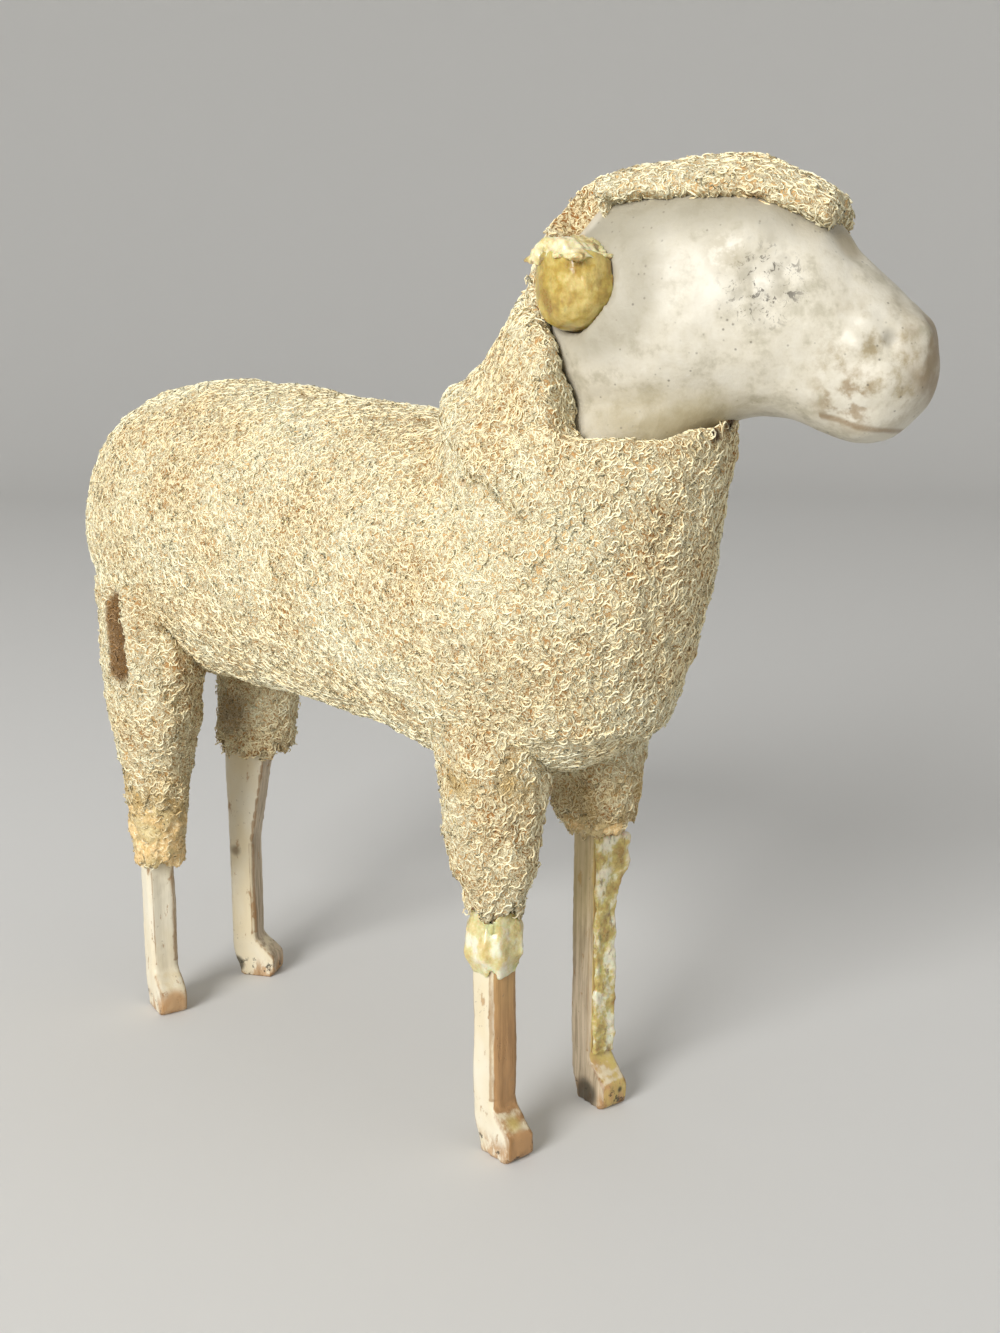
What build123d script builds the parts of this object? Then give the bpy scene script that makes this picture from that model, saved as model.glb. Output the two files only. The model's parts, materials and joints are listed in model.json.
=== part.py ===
from build123d import *
import os
from math import cos, radians, sin

# Sheep figurine: stick legs, a cast head and a glued woollen fleece round a whittled core.
# +X points from the tail to the nose, +Y to the sheep's left, +Z up. All lengths are millimetres.

# Barrel of the body, outside the fleece
body_length = 95.5
body_width = 34.0
body_depth = 45.4
belly_height = 44.0
rump_x = -48.0

# Neck outside the fleece, from inside the chest up to the nape
neck_foot_height = 52.0
neck_height = 57.0
neck_depth = 35.0
neck_width = 30.0
neck_foot_x = 33.0
neck_lean = 9.0

# Core and fleece
fleece_thickness = 2.4
wrap_clearance = 0.15
seam_gap = 0.05
neck_core_share = 0.4737
crown_thickness = 2.1
fleece_hole_clearance = 0.15

# Seam between body fleece and neck fleece, as a line seen from the side
seam_back_x = 20.5
seam_back_height = 85.2
seam_front_x = 52.0
seam_front_height = 68.0

# Rim of the neck fleece round the head, seen from the side: heights above the top of the
# neck's core, and places forward of the middle of the skull or behind it
rim_rise = 5.2
rim_front = 7.6
throat_tip_front = 13.6
throat_tip_rise = 7.4
rim_back = 1.8
rim_back_top = 4.1
rim_back_top_rise = 15.2
nape_back = 14.4
nape_rise = 22.0
rim_clearance = 0.3

# Head casting, turned a little to the sheep's left about the middle of its skull
head_forward = 0.4
head_rise = 18.8
head_turn = 15.0
head_length = 39.2
head_back = 8.6
head_depth = 26.2
head_width = 18.4
head_seat_gap = 0.1
stub_length = 16.0

# Dowel that pins the head to the core
dowel_diameter = 5.0
dowel_length = 24.0
dowel_clearance = 0.1

# Mouth line and nostrils
mouth_back = 20.5
mouth_up = -11.4
mouth_drop = 13.0
mouth_width = 0.45
mouth_depth = 0.5
nostril_forward = 26.4
nostril_up = -4.8
nostril_side = 5.6
nostril_diameter = 2.0

# Ears: a disc of glue in a shallow hollow, with the torn root of the ear along its top
ear_back = -4.6
ear_up = 1.2
ear_side = 7.9
ear_splay = 28.0
ear_diameter = 8.8
ear_dome = 2.6
ear_seat_depth = 2.0
ear_seat_clearance = 0.1
ear_hollow_width = 15.0
ear_hollow_depth = 1.0
ear_root_line = 1.7
ear_root_proud = 2.6

# Crown strip of fleece over the top of the head, in the head's own frame
crown_width = 12.0
crown_front = 20.4
crown_front_up = 6.4
crown_edge_front = 13.0
crown_edge_up = 9.6
crown_edge_back = -4.0
crown_nape_back = -7.4
crown_nape_up = 3.0

# Legs, whittled from square stock
wheelbase = 63.6
track = 16.6
leg_stock = 4.0
leg_corner = 0.5
toe_reach = 2.9
toe_height = 3.2
toe_undercut = 0.7
instep_height = 5.9
heel_cut = 1.5
heel_height = 4.6
front_shoulder_height = 60.0
hind_shoulder_height = 62.0
thigh_swell = 3.0
thigh_start_height = 22.0
thigh_full_height = 38.0
tenon_diameter = 3.2
tenon_length = 15.0
tenon_clearance = 0.1
leg_seat_gap = 0.05

# Sleeves of fleece on the legs
sleeve_depth = 14.0
thigh_depth = 15.5
thigh_back_wool = 1.3
sleeve_width = 13.0
front_right_sleeve_bottom = 30.2
front_left_sleeve_bottom = 39.0
hind_right_sleeve_bottom = 33.0
hind_left_sleeve_bottom = 36.0
front_sleeve_top = 54.0
hind_sleeve_top = 62.0
sleeve_clearance = 0.15
sleeve_seat_gap = 0.1

# Tail, a folded strip that hangs off the rump
tail_width = 11.0
tail_depth = 7.5
tail_thickness = 1.9
tail_top_height = 72.0
tail_tip_height = 32.0
tail_top_x = -45.0
tail_tip_x = -48.5
tail_seat_gap = 0.1

# Dried glue on the legs
glue_gap = 0.05
glue_collar_length = 7.8
glue_collar_bulge = 1.2
hind_cuff_length = 10.5
front_cuff_length = 3.6
glue_run_bottom = 6.6
glue_run_thickness = 0.6
glue_run_width = 3.2
glue_flake_length = 8.0
glue_flake_reach = 1.8
glue_flake_thickness = 0.8

# Top of the neck's core, where the head stands, and middle of the skull
neck_core_top = neck_foot_height + neck_core_share * neck_height
head_x = neck_foot_x + neck_lean + head_forward
head_height = neck_core_top + head_rise

overrun = 120.0

# Straight sides round a section of the coat and of a sleeve, the tail or a cuff
coat_sides = 24
sleeve_sides = 16

# Along the body from the rump: half width, back height and belly height
body_station_shares = (
    (0.02, 0.44, 0.74, 0.35),
    (0.07, 0.71, 0.89, 0.23),
    (0.16, 0.90, 0.98, 0.13),
    (0.30, 1.00, 1.00, 0.11),
    (0.48, 0.98, 0.97, 0.10),
    (0.64, 0.99, 0.93, 0.06),
    (0.78, 1.00, 0.90, 0.01),
    (0.89, 0.88, 0.87, 0.06),
    (0.96, 0.62, 0.77, 0.17),
    (0.99, 0.34, 0.64, 0.31),
)
rump_pole_share = 0.54
chest_pole_share = 0.48

# Up the neck: share of the lean, half depth and half width
neck_station_shares = (
    (0.00, 0.00, 0.70, 0.80),
    (0.25, 0.05, 0.92, 1.02),
    (0.46, 0.15, 1.00, 0.96),
    (0.60, 0.38, 0.98, 0.84),
    (0.74, 0.70, 0.75, 0.70),
    (0.88, 0.90, 0.60, 0.57),
    (1.00, 1.00, 0.48, 0.46),
)
neck_core_stations = slice(1, 4)

# Along the skull from its back: top and bottom from the skull's middle, and half width
skull_station_shares = (
    (0.010, 0.070, -0.155, 0.35),
    (0.040, 0.190, -0.342, 0.67),
    (0.114, 0.340, -0.495, 0.90),
    (0.213, 0.410, -0.532, 0.98),
    (0.337, 0.432, -0.525, 1.00),
    (0.462, 0.432, -0.455, 0.98),
    (0.586, 0.400, -0.440, 0.92),
    (0.710, 0.292, -0.498, 0.82),
    (0.797, 0.150, -0.540, 0.73),
    (0.871, 0.040, -0.529, 0.66),
    (0.933, -0.045, -0.471, 0.57),
    (0.978, -0.130, -0.375, 0.41),
)
skull_back_share = -0.04
nose_tip_share = -0.250

# Up the neck stub from its foot: middle in shares of the head's length, half depth in shares of
# the head's length and half width in shares of the head's width
stub_station_shares = (
    (0.00, 0.000, 0.193, 0.78),
    (0.25, 0.005, 0.198, 0.85),
    (0.39, 0.024, 0.227, 0.83),
    (0.49, 0.064, 0.267, 0.76),
    (0.69, 0.099, 0.273, 0.60),
    (1.00, 0.099, 0.223, 0.43),
)

# Up each sleeve: share of the widening from its foot to its full width
sleeve_station_shares = (
    (0.00, 0.00),
    (0.28, 0.52),
    (0.60, 0.95),
    (0.84, 1.00),
    (1.00, 0.72),
)

# Down the tail: share of the width and of the depth
tail_station_shares = (
    (0.00, 0.90, 1.00),
    (0.35, 1.00, 1.00),
    (0.75, 0.85, 0.90),
    (1.00, 0.45, 0.60),
)

# Down a glue bead: share of its bulge
glue_station_shares = (
    (0.00, 0.35),
    (0.30, 0.85),
    (0.65, 1.00),
    (1.00, 0.20),
)

# Up the dome of an ear's glue: share of its width
ear_dome_shares = (
    (0.00, 1.00),
    (0.42, 0.91),
    (0.76, 0.69),
    (0.94, 0.42),
    (1.00, 0.15),
)

core_corner_share = 0.75
collar_corner_share = 0.45
cuff_foot_share = 0.52

# Each leg: shaft's place in shares of wheelbase and track, turn of the toe in degrees
leg_shares = {
    "front_right": (0.456, -0.446, -10.0),
    "front_left": (0.478, 0.602, -14.0),
    "hind_right": (-0.520, -0.548, -18.0),
    "hind_left": (-0.508, 0.392, 26.0),
}

# Each sleeve: its lower edge
sleeve_bottoms = {
    "front_right": front_right_sleeve_bottom,
    "front_left": front_left_sleeve_bottom,
    "hind_right": hind_right_sleeve_bottom,
    "hind_left": hind_left_sleeve_bottom,
}

# Each sleeve: shares of the full sleeve width at its lower edge and where it is widest
sleeve_width_shares = {
    "front_right": (0.50, 1.00),
    "front_left": (0.76, 1.00),
    "hind_right": (0.64, 1.00),
    "hind_left": (0.72, 0.88),
}


def smoothed(table):
    """The stations of a table, with one more on a smooth curve midway between each two."""
    stations = []
    for place in range(len(table) - 1):
        before = table[max(place - 1, 0)]
        after = table[min(place + 2, len(table) - 1)]
        stations.append(table[place])
        stations.append(tuple(
            (b + c) / 2 + (b + c - a - d) / 16
            for a, b, c, d in zip(before, table[place], table[place + 1], after)))
    return stations + [table[-1]]


def oval(half_across, half_up, sides):
    """An oval of straight sides, first corner on its own X."""
    corners = []
    for corner in range(sides):
        angle = radians(corner * 360 / sides)
        corners.append((half_across * cos(angle), half_up * sin(angle)))
    return make_face(Polyline(*corners, close=True))


def upright(x, height):
    """A level plane at a point of the middle plane."""
    return Plane(origin=(x, 0, height))


def facing_forward(x, height):
    """A plane square to X whose own X runs across the sheep."""
    return Plane(origin=(x, 0, height), x_dir=(0, 1, 0), z_dir=(1, 0, 0))


def side_prism(points, width):
    """An outline seen from the side, as (x, z) points, made width thick across the sheep."""
    outline = Plane.XZ * make_face(Polyline(*points, close=True))
    return extrude(outline, width / 2, both=True)


def body_form(extra):
    """The barrel, grown by extra on every side."""
    stretch = 1 + 2 * extra / body_length
    middle = rump_x + body_length / 2
    sections = [Vertex(rump_x - extra, 0, belly_height + rump_pole_share * body_depth)]
    for along, wide, back, belly in smoothed(body_station_shares):
        x = middle + (rump_x + along * body_length - middle) * stretch
        top = belly_height + back * body_depth + extra
        bottom = belly_height + belly * body_depth - extra
        section = oval(wide * body_width / 2 + extra, (top - bottom) / 2, coat_sides)
        sections.append(facing_forward(x, (top + bottom) / 2) * section)
    chest_x = rump_x + body_length + extra
    sections.append(Vertex(chest_x, 0, belly_height + chest_pole_share * body_depth))
    return loft(sections, ruled=True)


def neck_plane(up, lean):
    return upright(neck_foot_x + lean * neck_lean, neck_foot_height + up * neck_height)


def neck_form(extra):
    """The neck, grown by extra round about."""
    sections = []
    for up, lean, deep, wide in smoothed(neck_station_shares):
        section = oval(deep * neck_depth / 2 + extra, wide * neck_width / 2 + extra, coat_sides)
        sections.append(neck_plane(up, lean) * section)
    return loft(sections, ruled=True)


def cut_corners(half_across, half_up, corner_share):
    """A rectangle with its corners cut off by a share of its shorter half."""
    block = Rectangle(2 * half_across, 2 * half_up)
    return chamfer(block.vertices(), corner_share * min(half_across, half_up))


def core_form(extra):
    """The whittled core inside the fleece, grown by extra on every side."""
    inset = fleece_thickness - extra
    sections = []
    for along, wide, back, belly in body_station_shares[1:-1]:
        top = belly_height + back * body_depth - inset
        bottom = belly_height + belly * body_depth + inset
        section = cut_corners(wide * body_width / 2 - inset, (top - bottom) / 2, core_corner_share)
        x = rump_x + along * body_length
        sections.append(facing_forward(x, (top + bottom) / 2) * section)
    barrel = loft(sections, ruled=True)
    rises = []
    for up, lean, deep, wide in neck_station_shares[neck_core_stations]:
        half_deep = deep * neck_depth / 2 - inset
        section = cut_corners(half_deep, wide * neck_width / 2 - inset, core_corner_share)
        rises.append(neck_plane(up, lean) * section)
    neck = loft(rises, ruled=True)
    seat_back_x = neck_foot_x - neck_depth / 2
    seat_cut = upright(seat_back_x + extra, neck_core_top + extra) * Box(
        overrun, overrun, overrun, align=(Align.MIN, Align.CENTER, Align.MIN))
    return barrel + neck - seat_cut


def skull_form(extra):
    """The skull and muzzle in the head's own frame, grown by extra on every side."""
    stretch = 1 + 2 * extra / head_length
    middle = head_length / 2 - head_back
    sections = [Vertex(-head_back - extra, 0, skull_back_share * head_depth)]
    for along, top, bottom, wide in smoothed(skull_station_shares):
        x = middle + (along * head_length - head_back - middle) * stretch
        half_up = (top - bottom) / 2 * head_depth + extra
        section = Ellipse(wide * head_width / 2 + extra, half_up)
        sections.append(facing_forward(x, (top + bottom) / 2 * head_depth) * section)
    tip = head_length - head_back + extra
    sections.append(Vertex(tip, 0, nose_tip_share * head_depth))
    return loft(sections, ruled=True)


def stub_form(extra):
    """The neck stub in the head's own frame, grown by extra round about."""
    foot = neck_core_top + head_seat_gap - head_height
    sections = []
    for up, along, deep, wide in smoothed(stub_station_shares):
        section = Ellipse(deep * head_length + extra, wide * head_width / 2 + extra)
        sections.append(upright(along * head_length, foot + up * stub_length) * section)
    return loft(sections, ruled=True)


def head_place():
    return Pos(head_x, 0, head_height) * Rot(Z=head_turn)


def ear_place(side):
    """The middle of an ear's seat, with Z outwards, on the right (-1) or the left (1)."""
    turn = 90 + ear_splay
    return Pos(ear_back, side * ear_side, ear_up) * Rot(Z=side * turn) * Rot(Y=90)


def ear_seat(extra):
    """The round seat of the ear's glue, grown by extra round about and inwards."""
    depth = ear_seat_depth + extra
    return Pos(0, 0, -depth) * Cylinder(
        ear_diameter / 2 + extra, depth + overrun / 2, align=(Align.CENTER, Align.CENTER, Align.MIN))


def ear_hollow():
    """The shallow scoop of the head round an ear."""
    half = ear_hollow_width / 2
    radius = (half * half + ear_hollow_depth * ear_hollow_depth) / (2 * ear_hollow_depth)
    return Pos(0, 0, radius - ear_hollow_depth) * Sphere(radius)


def ear_root(extra):
    """The torn root of the ear: the felt above a line across the seat, grown by extra."""
    plug = Pos(0, 0, -ear_seat_depth - extra) * Cylinder(
        ear_diameter / 2 + extra, ear_seat_depth + ear_root_proud + 2 * extra,
        align=(Align.CENTER, Align.CENTER, Align.MIN))
    above = Pos(extra - ear_root_line, 0, 0) * Box(
        overrun, overrun, overrun, align=(Align.MAX, Align.CENTER, Align.CENTER))
    return plug & above


def ear_glue():
    """The glue disc: a plug with a domed face, under the root of the ear."""
    plug = Pos(0, 0, -ear_seat_depth) * Cylinder(
        ear_diameter / 2, ear_seat_depth, align=(Align.CENTER, Align.CENTER, Align.MIN))
    rings = [Pos(0, 0, up * ear_dome) * Circle(wide * ear_diameter / 2) for up, wide in ear_dome_shares]
    return plug + loft(rings, ruled=True) - ear_root(ear_seat_clearance)


def head_blank():
    """Skull and neck stub in one, in the head's own frame."""
    return skull_form(0) + stub_form(0)


def make_head(blank):
    """The cast head with its mouth line, nostrils, ear seats and dowel bore."""
    slab = Box(overrun, overrun, mouth_width, align=(Align.MIN, Align.CENTER, Align.CENTER))
    slab = Pos(mouth_back, 0, mouth_up) * Rot(Y=mouth_drop) * slab
    head = blank - (slab - skull_form(-mouth_depth))
    for side in (-1, 1):
        place = Pos(nostril_forward, side * nostril_side, nostril_up)
        head = head - place * Sphere(nostril_diameter / 2)
        head = head - ear_place(side) * ear_hollow()
        head = head - ear_place(side) * ear_seat(ear_seat_clearance)
    return head_place() * head - dowel(dowel_clearance)


def dowel(extra):
    """The dowel between core and head, grown by extra."""
    return Pos(head_x, 0, neck_core_top) * Cylinder(
        dowel_diameter / 2 + extra, dowel_length + 2 * extra)


def neck_region(gap):
    """The part of the side view that the neck fleece takes, drawn in by gap at its seams."""
    slope = (seam_front_height - seam_back_height) / (seam_front_x - seam_back_x)
    back_x = seam_back_x - overrun
    front_x = seam_front_x + overrun
    back_height = seam_back_height - overrun * slope + gap
    front_height = seam_front_height + overrun * slope + gap
    outline = [
        (back_x, back_height),
        (front_x, front_height),
        (front_x, neck_core_top + throat_tip_rise),
        (head_x + throat_tip_front, neck_core_top + throat_tip_rise),
        (head_x + rim_front, neck_core_top + rim_rise),
        (head_x - rim_back, neck_core_top + rim_rise),
        (head_x - rim_back_top, neck_core_top + rim_back_top_rise - gap),
        (head_x - nape_back, neck_core_top + nape_rise - gap),
        (back_x, neck_core_top + nape_rise - gap),
    ]
    return side_prism(outline, overrun)


def below_seam():
    """The part of the side view below the seam of body and neck fleece."""
    slope = (seam_front_height - seam_back_height) / (seam_front_x - seam_back_x)
    back_x = seam_back_x - overrun
    front_x = seam_front_x + overrun
    outline = [
        (back_x, seam_back_height - overrun * slope),
        (front_x, seam_front_height + overrun * slope),
        (front_x, -overrun),
        (back_x, -overrun),
    ]
    return side_prism(outline, overrun)


def leg_place(name):
    along, side, turn = leg_shares[name]
    return Pos(along * wheelbase, side * track, 0) * Rot(Z=turn)


def is_hind(name):
    return name.startswith("hind")


def leg_shaft(name, extra):
    """A leg with its foot in the leg's own frame, its shaft grown by extra round about."""
    half = leg_stock / 2 + extra
    top = hind_shoulder_height if is_hind(name) else front_shoulder_height
    toe = leg_stock / 2 + toe_reach
    outline = [
        (-half, heel_height),
        (-half + heel_cut, 0),
        (toe - toe_undercut, 0),
        (toe, toe_undercut),
        (toe, toe_height),
        (half, instep_height),
    ]
    if is_hind(name):
        swollen = half + thigh_swell
        outline += [
            (half, thigh_start_height),
            (swollen, thigh_full_height),
            (swollen, top),
            (-half, top),
        ]
    else:
        outline += [(half, top), (-half, top)]
    return side_prism(outline, 2 * half)


def tenon(extra):
    """The round tenon on top of a leg, from the belly up, grown by extra."""
    return Pos(0, 0, belly_height) * Cylinder(
        tenon_diameter / 2 + extra, tenon_length + extra, align=(Align.CENTER, Align.CENTER, Align.MIN))


def make_leg(name, core):
    """A whittled leg: foot, shaft, shoulder cut to the core, and tenon."""
    shaft = leg_shaft(name, 0)
    long_edges = shaft.edges().filter_by(Axis.Z).filter_by(
        lambda edge: edge.length > thigh_start_height / 2)
    shaft = chamfer(long_edges, leg_corner)
    shoulder = leg_place(name) * shaft - core
    shoulder = shoulder.solids().sort_by(Axis.Z)[0]
    return shoulder + leg_place(name) * tenon(0)


def sleeve_shell(name, bottom, top, low_share, high_share):
    """A sleeve round a leg between two heights, as wide as the two shares of its full width."""
    depth = thigh_depth if is_hind(name) else sleeve_depth
    sections = []
    for up, wide in sleeve_station_shares:
        share = low_share + (high_share - low_share) * wide
        section = oval(share * depth / 2, share * sleeve_width / 2, sleeve_sides)
        forward = share * depth / 2 - leg_stock / 2 - thigh_back_wool if is_hind(name) else 0
        sections.append(upright(forward, bottom + up * (top - bottom)) * section)
    return leg_place(name) * (loft(sections, ruled=True) - leg_shaft(name, sleeve_clearance))


def make_sleeve(name, wool_room):
    """The fleece sleeve of a leg, cut to the underside of the body fleece."""
    top = hind_sleeve_top if is_hind(name) else front_sleeve_top
    foot_share, full_share = sleeve_width_shares[name]
    sleeve = sleeve_shell(name, sleeve_bottoms[name], top, foot_share, full_share) - wool_room
    return sleeve.solids().sort_by(Axis.Z)[0]


def make_cuff(name, length):
    """The lower end of a sleeve, soaked hard with glue, round a leg under its sleeve."""
    top = sleeve_bottoms[name] - glue_gap
    return sleeve_shell(name, top - length, top, cuff_foot_share, sleeve_width_shares[name][0])


def make_tail():
    """The tail: a strip of fleece bent to a gutter that opens forwards, laid on the rump."""
    outer = []
    inner = []
    for down, wide, deep in tail_station_shares:
        x = tail_top_x + down * (tail_tip_x - tail_top_x)
        height = tail_top_height + down * (tail_tip_height - tail_top_height)
        half_deep = deep * tail_depth
        half_wide = wide * tail_width / 2
        outer.append(upright(x, height) * oval(half_deep, half_wide, sleeve_sides))
        inner.append(upright(x, height) * oval(
            half_deep - tail_thickness, half_wide - tail_thickness, sleeve_sides))
    front = upright(tail_top_x, tail_tip_height) * Box(
        overrun, overrun, overrun * 2, align=(Align.MIN, Align.CENTER, Align.CENTER))
    gutter = loft(outer, ruled=True) - loft(inner, ruled=True) - front - body_form(tail_seat_gap)
    return gutter.solids().sort_by(Axis.Z)[0]


def make_crown(neighbours):
    """The strip of fleece glued over the top of the head, from the nape to the brow."""
    outline = [
        (crown_front, crown_front_up),
        (crown_front, overrun),
        (-overrun, overrun),
        (-overrun, -overrun),
        (crown_nape_back, -overrun),
        (crown_nape_back, crown_nape_up),
        (crown_edge_back, crown_edge_up),
        (crown_edge_front, crown_edge_up),
    ]
    strip = skull_form(crown_thickness) & side_prism(outline, crown_width)
    strip = strip - skull_form(rim_clearance) - stub_form(rim_clearance)
    strip = head_place() * strip - neighbours
    return strip.solids().sort_by(Axis.Z)[-1]


def make_glue_collar(name):
    """A bead of dried glue round a leg, just under its sleeve."""
    top = sleeve_bottoms[name] - glue_gap
    sections = []
    for down, bulge in glue_station_shares:
        half = leg_stock / 2 + bulge * glue_collar_bulge
        section = cut_corners(half, half, collar_corner_share)
        sections.append(upright(0, top - down * glue_collar_length) * section)
    return leg_place(name) * (loft(sections, ruled=True) - leg_shaft(name, glue_gap))


def make_glue_run(name):
    """A run of glue down the front of a leg, with a flake standing off its outer edge."""
    top = sleeve_bottoms[name] - front_cuff_length - 2 * glue_gap
    front = leg_stock / 2 + glue_gap
    run = Pos(front, 0, glue_run_bottom) * Box(
        glue_run_thickness, glue_run_width, top - glue_run_bottom,
        align=(Align.MIN, Align.CENTER, Align.MIN))
    edge = glue_run_width / 2
    flake = Plane.YZ * make_face(Polyline(
        (edge, top),
        (edge + glue_flake_reach, top),
        (edge + glue_flake_reach, top - glue_flake_length / 2),
        (edge, top - glue_flake_length),
        close=True))
    flake = Pos(front, 0, 0) * extrude(flake, glue_flake_thickness)
    return leg_place(name) * (run + flake)


def build():
    """Every piece of the figurine, by name, in the sheep's own frame."""
    core = core_form(0)
    core_room = core_form(wrap_clearance)
    wool = body_form(0) + neck_form(0)
    wool_room = body_form(sleeve_seat_gap) + neck_form(sleeve_seat_gap)
    head_room = head_place() * (skull_form(rim_clearance) + stub_form(rim_clearance))
    ear_room = [head_place() * ear_place(side) * ear_seat(rim_clearance) for side in (-1, 1)]
    pieces = {}
    blank = head_blank()
    neck_fleece = (wool & neck_region(seam_gap)) - core_room - head_room - ear_room
    neck_fleece = neck_fleece - head_place() * blank
    body_fleece = (wool & below_seam()) - core_room - head_room
    pieces["fleece_neck"] = neck_fleece.solids().sort_by(SortBy.VOLUME)[-1]
    socket = core - dowel(dowel_clearance)
    for name in leg_shares:
        pieces["leg_" + name] = make_leg(name, core_form(leg_seat_gap))
        socket = socket - leg_place(name) * tenon(tenon_clearance)
        body_fleece = body_fleece - leg_place(name) * leg_shaft(name, fleece_hole_clearance)
        pieces["fleece_sleeve_" + name] = make_sleeve(name, wool_room)
    pieces["body_core"] = socket
    pieces["fleece_body"] = body_fleece.solids().sort_by(SortBy.VOLUME)[-1]
    pieces["neck_dowel"] = dowel(0)
    pieces["head"] = make_head(blank)
    pieces["fleece_crown"] = make_crown([neck_region(0)] + ear_room)
    pieces["fleece_tail"] = make_tail()
    for side, word in ((-1, "right"), (1, "left")):
        place = head_place() * ear_place(side)
        pieces["ear_glue_" + word] = place * ear_glue()
        pieces["ear_root_" + word] = place * ear_root(0)
    pieces["glue_collar_front_right"] = make_glue_collar("front_right")
    pieces["glue_run_front_left"] = make_glue_run("front_left")
    pieces["glue_cuff_front_left"] = make_cuff("front_left", front_cuff_length)
    pieces["glue_cuff_hind_right"] = make_cuff("hind_right", hind_cuff_length)
    return pieces


pieces = build()
boxes = [piece.bounding_box() for piece in pieces.values()]
middle_x = (min(box.min.X for box in boxes) + max(box.max.X for box in boxes)) / 2
middle_y = (min(box.min.Y for box in boxes) + max(box.max.Y for box in boxes)) / 2
lowest = min(box.min.Z for box in boxes)
os.makedirs("parts", exist_ok=True)
for name, piece in pieces.items():
    export_step(Pos(-middle_x, -middle_y, -lowest) * piece, "parts/" + name + ".step")
print("origin moved by", round(middle_x, 3), round(middle_y, 3), round(lowest, 3))
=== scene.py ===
import bpy
import bmesh
import json
import math
from mathutils import Matrix, Vector, noise
from mathutils.bvhtree import BVHTree


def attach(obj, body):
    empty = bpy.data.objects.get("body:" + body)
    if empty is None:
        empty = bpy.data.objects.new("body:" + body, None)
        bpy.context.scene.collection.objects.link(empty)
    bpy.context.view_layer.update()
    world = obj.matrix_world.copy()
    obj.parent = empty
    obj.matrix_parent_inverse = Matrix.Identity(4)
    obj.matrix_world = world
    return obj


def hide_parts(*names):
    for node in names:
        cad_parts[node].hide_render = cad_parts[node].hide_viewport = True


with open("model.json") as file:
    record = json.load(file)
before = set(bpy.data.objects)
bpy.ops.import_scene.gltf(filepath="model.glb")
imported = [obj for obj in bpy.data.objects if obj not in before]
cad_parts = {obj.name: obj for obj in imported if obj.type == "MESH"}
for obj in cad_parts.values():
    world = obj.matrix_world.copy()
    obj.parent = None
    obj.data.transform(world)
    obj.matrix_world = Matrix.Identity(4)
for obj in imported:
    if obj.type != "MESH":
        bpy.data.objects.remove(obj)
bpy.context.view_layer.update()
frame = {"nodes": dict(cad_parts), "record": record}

nodes = frame["nodes"]
scene = bpy.context.scene
mm = 0.001  # the frame is in metres, the sizes below are in millimetres


class Wire:
    # one socket of a material: sums and products of it add their Math nodes
    def __init__(self, finish, socket):
        self.finish = finish
        self.socket = socket

    def __add__(self, other):
        return self.finish.maths("ADD", self, other)

    def __mul__(self, other):
        return self.finish.maths("MULTIPLY", self, other)

    def __sub__(self, other):
        return self.finish.maths("SUBTRACT", self, other)

    def __rsub__(self, other):
        return self.finish.maths("SUBTRACT", other, self)

    __radd__ = __add__
    __rmul__ = __mul__


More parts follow.
